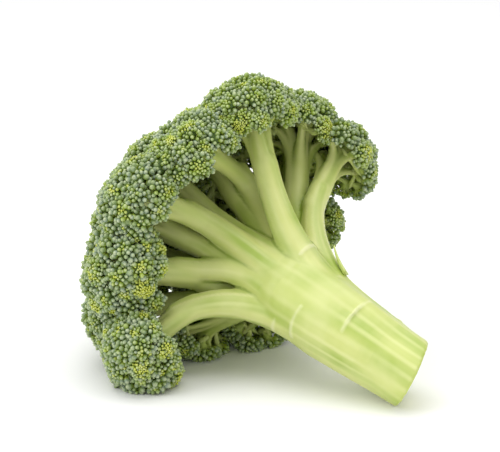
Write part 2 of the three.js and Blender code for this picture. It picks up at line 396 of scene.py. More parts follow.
streakStyle = {
    "wide": (9, 22),             # mm from one streak to the next round a limb
    "thin": (3.2, 6),
    "waves": (4, 5),             # of each kind, added up
    "drift": (-0.03, 0.03),
    "pace": (0.006, 0.03),
    "melt": 0.55,                # mm over which one limb's streaks give way to the next's
}


# Lengthwise streaks, wide and thin, drawn round each limb and blended where limbs meet. The
# crease value is high where two limbs lie side by side; the skin finish paints shade there with it.
def skinPattern(places):
    total, facing = np.full(len(places), 1e-9), np.zeros((len(places), 3))
    wide, thin = np.zeros(len(places)), np.zeros(len(places))
    random = np.random.default_rng(5)
    for points, radii in limbs:
        girth = 2 * math.pi * radii.mean()
        wideCount, thinCount = streakStyle["waves"]
        bands = [streakStyle["wide"]] * wideCount + [streakStyle["thin"]] * thinCount
        waves = [(max(2, round(girth / random.uniform(*band))), random.uniform(0, 6.3),
                  random.uniform(*streakStyle["drift"]), random.uniform(*streakStyle["pace"]),
                  random.uniform(0, 6.3)) for band in bands]
        margin = radii.max() + 4
        inside = np.all((places > points.min(0) - margin) & (places < points.max(0) + margin), axis=1)
        if not inside.any():
            continue
        near = places[inside]
        gap, where = distanceToLimb(near.astype(np.float32), points, radii)
        across, beside, lengths = limbFrames(points)
        low = np.minimum(where.astype(int), len(points) - 2)
        part = (where - low)[:, None]
        offset = near - (points[low] * (1 - part) + points[low + 1] * part)
        side = np.sum(offset * across[low], 1)
        other = np.sum(offset * beside[low], 1)
        angle = np.arctan2(other, side)
        along = lengths[low] * (1 - part[:, 0]) + lengths[low + 1] * part[:, 0]
        weight = np.exp(-np.abs(gap) / streakStyle["melt"])
        for share, few in ((wide, waves[:wideCount]), (thin, waves[wideCount:])):
            value = sum(np.cos(count * angle + start + drift * along)
                        * (0.6 + 0.4 * np.cos(pace * 6.3 * along + late))
                        for count, start, drift, pace, late in few)
            share[inside] += weight * value / math.sqrt(len(few))
        total[inside] += weight
        facing[inside] += weight[:, None] * unit(offset)
    return wide / total, thin / total, 1 - np.linalg.norm(facing, axis=1) / total


# Leaf scars: a low ridge across the outer side of a limb where a leaf was cut away
scarStyle = {
    "thickness": 0.5,
    "rise": 0.15,            # mm that the ridge's middle stands out of the limb
    "steps": 12,
    "droop": 0.35,           # how far its ends hang down, in limb radii
    "halo": 0.9,             # mm that its pale colour spreads
}


def scarArc(points, radii, where, outward, span):
    low = min(int(where), len(points) - 2)
    part = where - low
    middle = points[low] * (1 - part) + points[low + 1] * part
    radius = radii[low] * (1 - part) + radii[low + 1] * part
    tangent = unit(points[low + 1] - points[low])
    outward = unit(outward - tangent * (outward @ tangent))
    beside = np.cross(tangent, outward)
    angles = np.radians(np.linspace(-span, span, scarStyle["steps"]))[:, None]
    droop = -scarStyle["droop"] * radius * (1 - np.cos(angles))
    ring = middle + (radius + scarStyle["rise"]) * (outward * np.cos(angles) + beside * np.sin(angles))
    return ring + tangent * droop, np.full(scarStyle["steps"], scarStyle["thickness"])


# floret number, place along its branch (0 to 19), degrees to each side
scarTable = [(1, 8.6, 60), (2, 8.0, 40), (3, 7.6, 74), (5, 9.4, 66), (5, 5.2, 50), (6, 8.2, 46),
             (8, 9.0, 60), (9, 7.5, 60), (10, 8.0, 60), (11, 7.5, 70)]
# place along the stalk (0 to 25), turn, degrees to each side
stalkScarTable = [(7.6, -30, 34), (11.4, -95, 28), (5.4, 70, 30), (6.5, 150, 36)]
scars = []
for number, where, span in scarTable:
    floret = floretTable[number - 1]
    points, radii = floret["branch"][0]
    scars.append(scarArc(points, radii, where, onPlant(floret["turn"], 1, 0), span))
for where, turn, span in stalkScarTable:
    points, radii = limbs[0]
    scars.append(scarArc(points, radii, where, onPlant(turn, 1, 0), span))

grownLimbs = limbs
limbs = grownLimbs + scars
limbBlend += [limbStyle["blendScar"]] * len(scars)
skinPoints, skinFaces, skinDepth = growSkin()
limbs = grownLimbs
say(f"skin grown: {len(skinFaces)} faces")

# openvdb winds its faces inwards or outwards by version, so the volume's sign decides
corners = skinPoints[skinFaces]
volume = np.sum(corners[:, 0] * np.cross(corners[:, 1], corners[:, 2]))
volume += np.sum(corners[:, 0] * np.cross(corners[:, 2], corners[:, 3]))
if volume < 0:
    skinFaces = skinFaces[:, ::-1]

skinMesh = meshFrom("stalk_and_branches", toRoom(skinPoints), skinFaces)
skinMesh.shade_smooth()
for name, values in zip(("wideStreak", "thinStreak", "crease"), skinPattern(skinPoints)):
    addAttribute(skinMesh, name, "FLOAT", values)
scarGap = np.min([distanceToLimb(skinPoints.astype(np.float32), *arc)[0] for arc in scars], axis=0)
addAttribute(skinMesh, "scar", "FLOAT", np.exp(-np.clip(scarGap, 0, None) / scarStyle["halo"]))
onCut = np.abs((skinPoints - cutMiddle) @ cutFacing) < 0.45 * limbStyle["voxel"]
addAttribute(skinMesh, "cut", "FLOAT", onCut)
addAttribute(skinMesh, "depth", "FLOAT", skinDepth)
addAttribute(skinMesh, "upStalk", "FLOAT", np.clip(skinPoints[:, 2] / 120, 0, 1))
skin = newObject("stalk_and_branches", skinMesh)
say("skin mesh made")


# Flower heads: clusters of buds over each floret, on stems that fan out of the forks
headStyle = {
    "spacing": (7.0, 10.6),     # mm between cluster middles
    "clusterRadius": 0.6,       # of the spacing
    "sink": 0.93,               # how deep a cluster's middle sits, in cluster radii
    "flatten": 0.74,
    "clusterEdge": 108.0,       # degrees from a cluster's top to its last buds
    "youngBud": 0.52,           # bud radius, mm
    "oldBud": 1.22,
    "packing": (0.85, 1.3),     # room each young and each old bud takes, in bud areas
    "stem": 1.15,               # radius of a cluster's stem, mm
    "darts": 4500,
    "clearBranch": 2.4,         # mm that a cluster's middle keeps clear of the branches
    "goldenTurn": 2.39996,      # radians from one bud to the next round a cluster
    "oldFrom": 0.35,            # age from which a bud has its full shape
    "pedicelThick": 0.72,       # of the bud it carries
    "pedicelFrom": 0.85,        # radians from a cluster's top where bare pedicels show
    "underFrom": 88.0,          # degrees from a floret's top where the shaded side starts
    "underRipe": (0.25, 0.75),  # how ripe its clusters are
    "fillDarts": 1100,
    "fillShy": 10.0,            # degrees that the fillers stay back from a floret's rim
    "fillDepth": 2.0,           # mm that they lie under the other clusters
    "fillRadius": (3.2, 4.6),
    "fillRoom": 0.74,           # of two clusters' radii, kept between their middles
}


def neighbourPlanes(floret):
    planes = []
    for other in floretTable:
        if other is floret:
            continue
        offset = other["middle"] - floret["middle"]
        gap = np.linalg.norm(offset)
        if gap > plant["spread"] * (floret["radius"] + other["radius"]):
            continue
        share = (gap ** 2 + floret["radius"] ** 2 - other["radius"] ** 2) / (2 * gap)
        planes.append((offset / gap, share))
    return planes


# Cluster middles: darts thrown at the dome, each kept if it lies on the floret's own side of
# its neighbours, above the surface, clear of the branches and far enough from the kept ones
def placeClusters(floret, random):
    planes = neighbourPlanes(floret)
    count = headStyle["darts"]
    edge = math.cos(math.radians(floret.get("edge", plant["domeEdge"]) + 2))
    polar = np.arccos(random.uniform(edge, 1, count))
    around = random.uniform(0, 2 * np.pi, count)
    spacing = random.uniform(*headStyle["spacing"], count) * (0.8 + 0.2 * floret["radius"] / 21)
    middles, facings = onDome(floret, polar, around, 1.0)
    middles = middles - facings * (spacing * headStyle["clusterRadius"])[:, None] * headStyle["sink"]
    nearPlane = np.full(count, 99.0)
    for direction, share in planes:
        nearPlane = np.minimum(nearPlane, share - (middles - floret["middle"]) @ direction)
    sunk = np.clip(1 - nearPlane / 6, 0, 1) ** 2 * 2.6
    middles -= facings * sunk[:, None]
    allowed = nearPlane > 0.6
    allowed &= heightOverSurface(middles) > 1.2
    gap = np.min([distanceToLimb(middles, *limb)[0] for limb in limbs[:mainLimbs]], axis=0)
    allowed &= gap > headStyle["clearBranch"]
    kept = []
    for index in np.nonzero(allowed)[0]:
        gaps = np.linalg.norm(middles[kept] - middles[index], axis=1)
        if not kept or np.all(gaps > 0.5 * (spacing[kept] + spacing[index])):
            kept.append(index)
    kept = np.array(kept)
    tilt = random.normal(0, 0.12, (len(kept), 3))
    made = []
    for i, k in enumerate(kept):
        ripe = random.uniform(0.3, 0.5) if random.random() < 0.14 else random.uniform(0.65, 1.15)
        under = np.clip((math.degrees(polar[k]) - headStyle["underFrom"]) / 20, 0, 1)
        ripe += (random.uniform(*headStyle["underRipe"]) - ripe) * under
        made.append(dict(middle=middles[k], facing=unit(facings[k] + tilt[i]), floret=floret,
                         radius=spacing[k] * headStyle["clusterRadius"],
                         stretch=random.uniform(-0.15, 0.28), ripe=ripe))
    return made


def clusterBuds(cluster, random):
    facing, radius = cluster["facing"], cluster["radius"]
    sideways = unit(np.cross(facing, [0.23, 0.41, 0.88]))
    beside = np.cross(facing, sideways)
    used, buds, number = 0.0, [], 0
    start = random.uniform(0, 2 * np.pi)
    while True:
        polar = math.acos(max(1 - used / (2 * np.pi * radius ** 2), -1))
        if polar > math.radians(headStyle["clusterEdge"]):
            break
        age = np.clip(polar / 1.35, 0, 1) ** 0.8 * (0.45 + 0.55 * cluster["ripe"]) \
            + 0.55 * (cluster["ripe"] - 0.6)
        age = float(np.clip(age + random.normal(0, 0.13), 0, 1))
        size = headStyle["youngBud"] + (headStyle["oldBud"] - headStyle["youngBud"]) * age
        size *= random.uniform(0.8, 1.12) * (1.25 if random.random() < 0.06 else 1)
        size *= cluster["floret"].get("bud", 1.0)
        around = start + number * headStyle["goldenTurn"] + random.normal(0, 0.1)
        out = sideways * math.cos(around) + beside * math.sin(around)
        rise = math.cos(polar) * headStyle["flatten"]
        place = radius * (math.sin(polar) * out + rise * facing)
        place += unit(place) * random.uniform(-0.5, 0.3 + 0.5 * age)
        place += sideways * (place @ sideways) * cluster["stretch"]
        lean = unit(place + facing * radius * 0.45 + random.normal(0, 0.35, 3))
        buds.append((cluster["middle"] + place, lean, size, age, polar))
        loose = headStyle["packing"]
        used += np.pi * size ** 2 * (loose[0] + (loose[1] - loose[0]) * age)
        number += 1
    return buds


# Where the crown is still open between florets, smaller clusters fill it from deeper down
def fillClusters(floret, taken, random):
    count = headStyle["fillDarts"]
    limit = floret.get("edge", plant["domeEdge"]) - headStyle["fillShy"]
    polar = np.arccos(random.uniform(math.cos(math.radians(limit)), 1, count))
    around = random.uniform(0, 2 * np.pi, count)
    middles, facings = onDome(floret, polar, around, 1.0)
    radii = random.uniform(*headStyle["fillRadius"], count)
    middles = middles - facings * (radii + headStyle["fillDepth"])[:, None]
    allowed = heightOverSurface(middles) > 2
    for direction, share in neighbourPlanes(floret):
        allowed &= share - (middles - floret["middle"]) @ direction > -2.5
    kept = []
    for index in np.nonzero(allowed)[0]:
        places = np.array([cluster["middle"] for cluster in taken + kept])
        sizes = np.array([cluster["radius"] for cluster in taken + kept])
        gaps = np.linalg.norm(places - middles[index], axis=1)
        if np.all(gaps > headStyle["fillRoom"] * (sizes + radii[index])):
            kept.append(dict(middle=middles[index], facing=facings[index], floret=floret,
                             radius=radii[index], stretch=0.0, ripe=random.uniform(0.3, 0.9)))
    return kept


random = np.random.default_rng(21)
clusters = []
for floret in floretTable:
    clusters += placeClusters(floret, random)
for floret in floretTable:
    clusters += fillClusters(floret, clusters, random)
clusterMiddles = np.array([cluster["middle"] for cluster in clusters])
clusterRadii = np.array([cluster["radius"] for cluster in clusters])
say(f"{len(clusters)} clusters placed")


# Faces of a closed shape made of rings of points, with one more point at its foot and its top
def ringFaces(levels, sides):
    foot, top = levels * sides, levels * sides + 1
    faces = []
    for side in range(sides):
        after = (side + 1) % sides
        faces.append((foot, after, side))
        for level in range(levels - 1):
            low, high = level * sides, (level + 1) * sides
            faces.append((low + side, low + after, high + after))
            faces.append((low + side, high + after, high + side))
        last = (levels - 1) * sides
        faces.append((last + side, last + after, top))
    return np.array(faces)


# Small shapes that repeat, each with its own square of UV
def ringShape(name, rings, sides, lobes=0, lobeDepth=0.0, bow=0.0):
    points, patch = [], []
    for radius, height in rings:
        for side in range(sides):
            angle = 2 * math.pi * side / sides
            reach = radius * (1 + lobeDepth * math.cos(lobes * angle))
            shift = bow * math.sin(math.pi * min(max(height, 0), 1))
            points.append((reach * math.cos(angle) + shift, reach * math.sin(angle), height))
    points += [(0, 0, rings[0][1] - rings[0][0] * 0.4), (0, 0, rings[-1][1] + rings[-1][0] * 0.45)]
    rows = 0.1 + 0.8 * np.arange(len(rings)) / (len(rings) - 1)
    for side in range(sides):
        u, v = side / sides, (side + 1) / sides
        patch += [((u + v) / 2, 0.02), (v, 0.1), (u, 0.1)]
        for low, high in zip(rows, rows[1:]):
            patch += [(u, low), (v, low), (v, high), (u, low), (v, high), (u, high)]
        patch += [(u, 0.9), (v, 0.9), ((u + v) / 2, 0.98)]
    points = np.array(points)
    mesh = meshFrom(name, points, ringFaces(len(rings), sides))
    mesh.shade_smooth()
    addAttribute(mesh, "patch", "FLOAT2", 0.04 + 0.92 * np.array(patch), "CORNER")
    low, high = points[:, 2].min(), points[:, 2].max()
    addAttribute(mesh, "rise", "FLOAT", (points[:, 2] - low) / (high - low))
    return newObject(name, mesh)


# radius and height of each ring, bottom first
shapeRings = {
    "0bud": dict(rings=[(0.62, -0.75), (1.0, -0.05), (0.82, 0.62), (0.42, 0.98)], sides=7),
    "1youngBud": dict(rings=[(0.72, -0.55), (0.9, 0.35)], sides=6),
    "2pedicel": dict(rings=[(0.5, 0.0), (0.4, 0.5), (0.7, 0.97)], sides=4, bow=0.3),
    "3stem": dict(rings=[(1.5, 0.0), (1.1, 0.18), (0.95, 0.4), (0.95, 0.62), (1.05, 0.82), (1.3, 1.0)],
                  sides=8, lobes=3, lobeDepth=0.05, bow=0.35),
    "4core": dict(rings=[(0.24, -1.5), (0.36, -0.9), (0.66, -0.35), (0.9, 0.02), (0.88, 0.32),
                         (0.68, 0.62), (0.3, 0.82)], sides=10, lobes=5, lobeDepth=0.07),
}
shapeShelf = bpy.data.collections.new("head shapes")
bpy.context.scene.collection.children.link(shapeShelf)
for name, rings in shapeRings.items():
    shape = ringShape(name, **rings)
    bpy.context.scene.collection.objects.unlink(shape)
    shapeShelf.objects.link(shape)


class Nodes:
    def __init__(self, tree):
        self.tree = tree

    def add(self, kind, inputs=None, **settings):
        node = self.tree.nodes.new(kind)
        for key, value in settings.items():
            setattr(node, key, value)
        for key, value in (inputs or {}).items():
            self.feed(node.inputs[key], value)
        return node

    def feed(self, socket, value):
        if isinstance(value, bpy.types.NodeSocket):
            self.tree.links.new(value, socket)
        else:
            socket.default_value = value

    def attribute(self, name):
        return self.add("ShaderNodeAttribute", attribute_name=name).outputs["Fac"]

    def maths(self, operation, *values):
        return self.add("ShaderNodeMath", dict(enumerate(values)), operation=operation).outputs[0]

    def ramp(self, value, low, high, start=0.0, end=1.0):
        inputs = {"Value": value, "From Min": low, "From Max": high, "To Min": start, "To Max": end}
        return self.add("ShaderNodeMapRange", inputs, interpolation_type="SMOOTHSTEP").outputs[0]

    def mix(self, share, a, b):
        node = self.add("ShaderNodeMix", {"Factor": share}, data_type="RGBA")
        self.feed(node.inputs[6], a)        # the two colours have these numbers
        self.feed(node.inputs[7], b)
        return node.outputs[2]

    def noise(self, vector, scale, detail=3.0, rough=0.5):
        inputs = {"Vector": vector, "Scale": scale, "Detail": detail, "Roughness": rough}
        return self.add("ShaderNodeTexNoise", inputs).outputs[0]


def headTree():
    tree = bpy.data.node_groups.new("flower heads", "GeometryNodeTree")
    for name, kind, value in (
            ("Geometry", "Geometry", None), ("Shapes", "Collection", None), ("Size", "Float", 1.0),
            ("Bud Length", "Float", 1.25), ("Roll Seed", "Int", 3), ("Cells Across", "Float", 30.0),
            ("Bud Finish", "Material", None), ("Stem Finish", "Material", None)):
        made = tree.interface.new_socket(name, in_out="INPUT", socket_type="NodeSocket" + kind)
        if value is not None:
            made.default_value = value
    tree.interface.new_socket("Geometry", in_out="OUTPUT", socket_type="NodeSocketGeometry")
    nodes = Nodes(tree)
    into = nodes.add("NodeGroupInput").outputs

    def named(name, kind):
        node = nodes.add("GeometryNodeInputNamedAttribute", {"Name": name}, data_type=kind)
        return node.outputs["Attribute"]

    shelf = nodes.add("GeometryNodeCollectionInfo", {
        "Collection": into["Shapes"], "Separate Children": True, "Reset Children": True,
    }, transform_space="ORIGINAL")
    align = nodes.add("FunctionNodeAlignRotationToVector", {"Vector": named("facing", "FLOAT_VECTOR")},
                      axis="Z")
    roll = nodes.add("FunctionNodeRandomValue", {2: 0.0, 3: 2 * math.pi, "Seed": into["Roll Seed"]},
                     data_type="FLOAT")
    turn = nodes.add("ShaderNodeCombineXYZ", {"Z": roll.outputs[1]})
    spin = nodes.add("FunctionNodeEulerToRotation", {0: turn.outputs[0]})
    rotate = nodes.add("FunctionNodeRotateRotation", {0: align.outputs[0], 1: spin.outputs[0]},
                       rotation_space="LOCAL")

    # buds are drawn out along their facing; the other shapes keep their own length
    shapeNumber = named("shape", "INT")
    isBud = nodes.maths("LESS_THAN", shapeNumber, 1.5)
    longer = nodes.maths("MULTIPLY", isBud, nodes.maths("SUBTRACT", into["Bud Length"], 1.0))
    drawnOut = nodes.maths("MULTIPLY", into["Size"], nodes.maths("ADD", 1.0, longer))
    stretch = nodes.add("ShaderNodeCombineXYZ", {0: into["Size"], 1: into["Size"], 2: drawnOut})
    scale = nodes.add("ShaderNodeVectorMath", {0: named("size", "FLOAT_VECTOR"), 1: stretch.outputs[0]},
                      operation="MULTIPLY")
    place = nodes.add("GeometryNodeInstanceOnPoints", {
        "Points": into["Geometry"], "Instance": shelf.outputs[0], "Pick Instance": True,
        "Instance Index": shapeNumber, "Rotation": rotate.outputs[0], "Scale": scale.outputs[0],
    })
    real = nodes.add("GeometryNodeRealizeInstances", {0: place.outputs[0]})

    # every shape gets its own square of the map
    cell, across = named("cell", "FLOAT"), into["Cells Across"]
    row = nodes.maths("FLOOR", nodes.maths("DIVIDE", cell, across), 0.0)
    corner = nodes.add("ShaderNodeCombineXYZ", {0: nodes.maths("MODULO", cell, across), 1: row})
    shifted = nodes.add("ShaderNodeVectorMath", {0: corner.outputs[0], 1: named("patch", "FLOAT_VECTOR")},
                        operation="ADD")
    shrunk = nodes.add("ShaderNodeVectorMath", {
        0: shifted.outputs[0], "Scale": nodes.maths("DIVIDE", 1.0, across),
    }, operation="SCALE")
    store = nodes.add("GeometryNodeStoreNamedAttribute", {
        0: real.outputs[0], "Name": "OFBake", "Value": shrunk.outputs[0],
    }, data_type="FLOAT2", domain="CORNER")

    paintBuds = nodes.add("GeometryNodeSetMaterial", {
        "Geometry": store.outputs[0], "Material": into["Bud Finish"],
    })
    isStem = nodes.maths("GREATER_THAN", named("shape", "INT"), 1.5)
    paintStems = nodes.add("GeometryNodeSetMaterial", {
        "Geometry": paintBuds.outputs[0], "Selection": isStem, "Material": into["Stem Finish"],
    })
    nodes.add("NodeGroupOutput", {0: paintStems.outputs[0]})
    return tree


def setInputs(modifier, values):
    for item in modifier.node_group.interface.items_tree:
        if item.item_type == "SOCKET" and item.in_out == "INPUT" and item.name in values:
            modifier[item.identifier] = values[item.name]


def colour(code):
    parts = [int(code[i:i + 2], 16) / 255 for i in (1, 3, 5)]
    linear = [p / 12.92 if p <= 0.04045 else ((p + 0.055) / 1.055) ** 2.4 for p in parts]
    return (*linear, 1.0)


def newMaterial(name):
    material = bpy.data.materials.new(name)
    material.use_nodes = True
    material.node_tree.nodes.clear()
    nodes = Nodes(material.node_tree)
    shader = nodes.add("ShaderNodeBsdfPrincipled")
    output = nodes.add("ShaderNodeOutputMaterial")
    material.node_tree.links.new(shader.outputs[0], output.inputs[0])
    return material, nodes, shader


# Plant tissue mottling shared by every finish: soft blotches, fine cells and a height
def tissueGroup():
    group = bpy.data.node_groups.new("plant tissue", "ShaderNodeTree")
    face = group.interface
    face.new_socket("Vector", in_out="INPUT", socket_type="NodeSocketVector")
    for name, value in (("Blotch Scale", 90.0), ("Cell Scale", 900.0)):
        made = face.new_socket(name, in_out="INPUT", socket_type="NodeSocketFloat")
        made.default_value = value
    for name in ("Blotch", "Cells", "Height"):
        face.new_socket(name, in_out="OUTPUT", socket_type="NodeSocketFloat")
    nodes = Nodes(group)
    into = nodes.add("NodeGroupInput").outputs
    out = nodes.add("NodeGroupOutput")
    blotch = nodes.ramp(nodes.noise(into["Vector"], into["Blotch Scale"], 3.0), 0.35, 0.68)
    cells = nodes.noise(into["Vector"], into["Cell Scale"], 4.0, 0.6)
    nodes.feed(out.inputs["Blotch"], blotch)
    nodes.feed(out.inputs["Cells"], cells)
    height = nodes.maths("ADD", nodes.maths("MULTIPLY", cells, 0.7), nodes.maths("MULTIPLY", blotch, 0.3))
    nodes.feed(out.inputs["Height"], height)
    return group


tissue = tissueGroup()

# Tissue mottling over a whole piece, with its own scales
def mottling(nodes, blotchScale, cellScale):
    place = nodes.add("ShaderNodeTexCoord").outputs["Object"]
    inputs = {"Vector": place, "Blotch Scale": blotchScale, "Cell Scale": cellScale}
    return nodes.add("ShaderNodeGroup", inputs, node_tree=tissue).outputs


def roughAndBumpy(nodes, shader, rough, height, strength, distance):
    nodes.feed(shader.inputs["Roughness"], rough)
    bump = nodes.add("ShaderNodeBump", {"Strength": strength, "Distance": distance, "Height": height})
    nodes.feed(shader.inputs["Normal"], bump.outputs[0])


# deep is the green of painted shade in the creases between limbs
skinFinish = {
    "pale": "#e2e4a4", "mid": "#c8d07a", "green": "#9db545", "deep": "#7a922c",
    "scar": "#e9e9bc", "cut": "#c3d06c", "cutHeart": "#dfe3a8", "roughness": 0.42,
}


def skinMaterial():
    style = skinFinish
    material, nodes, shader = newMaterial("stalk skin")
    broad, thread = nodes.attribute("wideStreak"), nodes.attribute("thinStreak")
    mottle = mottling(nodes, 42.0, 1300.0)
    base = nodes.mix(nodes.ramp(broad, -0.9, 0.75), colour(style["green"]), colour(style["mid"]))
    base = nodes.mix(nodes.ramp(thread, -0.4, 1.6, 0.0, 0.6), base, colour(style["pale"]))
    base = nodes.mix(nodes.maths("MULTIPLY", mottle["Blotch"], 0.4), base, colour(style["pale"]))
    base = nodes.mix(nodes.ramp(nodes.attribute("upStalk"), 0.55, 1.0, 0.0, 0.3), base,
                     colour(style["mid"]))
    # painted shade: the creases where two limbs lie side by side turn deeper green
    base = nodes.mix(nodes.ramp(nodes.attribute("crease"), 0.04, 0.35, 0.0, 0.7), base,
                     colour(style["deep"]))
    scar = nodes.attribute("scar")
    base = nodes.mix(nodes.ramp(scar, 0.3, 0.95, 0.0, 0.45), base, colour(style["scar"]))
    cut = nodes.attribute("cut")
    heartShare = nodes.ramp(nodes.attribute("depth"), 1.0, 4.5)
    cutColour = nodes.mix(heartShare, colour(style["cut"]), colour(style["cutHeart"]))
    base = nodes.mix(cut, base, cutColour)
    nodes.feed(shader.inputs["Base Color"], base)
    rough = nodes.ramp(thread, -1.0, 1.0, style["roughness"] - 0.05, style["roughness"] + 0.1)
    height = nodes.maths("ADD", nodes.maths("MULTIPLY", thread, 0.12),
                         nodes.maths("MULTIPLY", mottle["Cells"], 0.22))
    height = nodes.maths("ADD", height, nodes.maths("MULTIPLY", broad, 0.25))
    roughAndBumpy(nodes, shader, rough, height, 0.32, 0.0006)
    shader.inputs["Subsurface Weight"].default_value = 0.12
    shader.inputs["Subsurface Radius"].default_value = (0.004, 0.005, 0.0015)
    shader.inputs["Subsurface Scale"].default_value = 0.6
    shader.inputs["Specular IOR Level"].default_value = 0.45
    return material


# bloom is the pale colour of the bud tips, partly wax bloom and partly painted highlight
budFinish = {
    "young": "#c8d02c", "middle": "#8fa83c", "old": "#718a48", "oldBlue": "#7d9180",
    "bloom": "#cdd5a4", "base": "#a8b936", "roughness": 0.32,
}


def budMaterial():
    style = budFinish
    material, nodes, shader = newMaterial("flower buds")
    age, tint, rise = nodes.attribute("age"), nodes.attribute("tint"), nodes.attribute("rise")
    mottle = mottling(nodes, 260.0, 2200.0)
    body = nodes.mix(nodes.ramp(age, 0.08, 0.5), colour(style["young"]), colour(style["middle"]))
    dusty = nodes.mix(mottle["Blotch"], colour(style["old"]), colour(style["oldBlue"]))
    body = nodes.mix(nodes.ramp(tint, 0.05, 0.75), body, dusty)
    body = nodes.mix(nodes.ramp(rise, 0.7, 0.2, 0.0, 0.9), body, colour(style["base"]))
    # the tips turn pale: partly the buds' wax bloom, partly a painted highlight on their tops
    tipBloomAndHighlight = nodes.maths("MULTIPLY", nodes.ramp(rise, 0.62, 1.0),
                           nodes.ramp(mottle["Blotch"], 0.0, 1.0, 0.3, 0.65))
    body = nodes.mix(tipBloomAndHighlight, body, colour(style["bloom"]))
    nodes.feed(shader.inputs["Base Color"], body)
    rough = nodes.ramp(mottle["Cells"], 0.3, 0.7, style["roughness"] - 0.08, style["roughness"] + 0.12)
    roughAndBumpy(nodes, shader, rough, mottle["Height"], 0.3, 0.0003)
    shader.inputs["Specular IOR Level"].default_value = 0.6
    return material


# coreShade is painted shade on the tops of the cluster cores, for the dark gaps between the buds
stemFinish = {"pale": "#d5dd8e", "green": "#9cb548", "deep": "#7f9a33", "coreShade": "#4f6a26",
              "roughness": 0.45}


def stemMaterial():
    style = stemFinish
    material, nodes, shader = newMaterial("flower stems")
    tint, rise = nodes.attribute("tint"), nodes.attribute("rise")
    mottle = mottling(nodes, 160.0, 1600.0)
    body = nodes.mix(tint, colour(style["green"]), colour(style["pale"]))
    body = nodes.mix(nodes.ramp(rise, 0.55, 1.0, 0.0, 0.55), body, colour(style["deep"]))
    body = nodes.mix(nodes.maths("MULTIPLY", mottle["Blotch"], 0.35), body, colour(style["pale"]))
    # painted shade on the top of each cluster core (age 1 marks the cores), for the dark gaps between
    # buds
    shaded = nodes.maths("MULTIPLY", nodes.ramp(nodes.attribute("age"), 0.9, 1.0),
                         nodes.ramp(rise, 0.35, 0.7))
    body = nodes.mix(shaded, body, colour(style["coreShade"]))
    nodes.feed(shader.inputs["Base Color"], body)
    rough = nodes.ramp(mottle["Cells"], 0.3, 0.7, style["roughness"] - 0.06, style["roughness"] + 0.12)
    roughAndBumpy(nodes, shader, rough, mottle["Height"], 0.35, 0.0004)
    return material


skinSurface, budSurface, stemSurface = skinMaterial(), budMaterial(), stemMaterial()
skin.data.materials.append(skinSurface)


heads = headTree()


def hiddenByOthers(places, own, reach):
    hidden = np.zeros(len(places), bool)
    for number, (middle, radius) in enumerate(zip(clusterMiddles, clusterRadii)):
        hidden |= (own != number) & (np.linalg.norm(places - middle, axis=1) < radius * reach)
    return hidden


def headPoints(floret, random):
    rows = []       # place, facing, size, shape, age, tint

    def put(place, facing, size, shape, age, tint):
        rows.append((*place, *facing, *size, shape, age, tint))

    armPlaces = np.concatenate([points[4:] for points, radii in floret["arms"]])
    for number, cluster in enumerate(clusters):
        if cluster["floret"] is not floret:
            continue
        middle, facing, radius = cluster["middle"], cluster["facing"], cluster["radius"]
        # a cluster core, marked with age 1 so that the stem finish darkens its top with painted shade
        put(middle, facing, (radius * 0.8, radius * 0.8, radius * 0.74), 4, 1.0, 0.35)
        foot = middle - facing * radius * 1.0
        gaps = np.linalg.norm(armPlaces - foot, axis=1) + random.uniform(0, 3, len(armPlaces))
        tip = armPlaces[np.argmin(gaps)]
        run = foot - tip
        length = np.linalg.norm(run)
        thick = headStyle["stem"] * random.uniform(0.9, 1.15)
        put(tip - run * 0.08, run / length, (thick, thick, length * 1.16), 3, 0.4, random.uniform(0.4, 1))
        buds = clusterBuds(cluster, random)
        places = np.array([bud[0] for bud in buds])
        hidden = hiddenByOthers(places, number, 0.93)
        for (place, lean, size, age, polar), covered in zip(buds, hidden):
            if covered:
                continue
            low = heightOverSurface(place) - size * 1.05
            if low < -4:
                continue
            if low < 0:
                place = place - surfaceUp * low
            bloom = np.clip(age * 1.15 - 0.4 + floret.get("blue", 0) + random.normal(0, 0.24), 0, 1)
            put(place, lean, (size, size, size), 0 if age > headStyle["oldFrom"] else 1, age, bloom)
            if polar > headStyle["pedicelFrom"]:
                start = middle - facing * radius * 0.25 + (place - middle) * 0.2
                reach = place - lean * size * 0.8 - start
                long = np.linalg.norm(reach)
                thick = size * headStyle["pedicelThick"]
                put(start, reach / long, (thick, thick, long), 2, age * 0.8, random.uniform(0.4, 1))
    return np.array(rows)


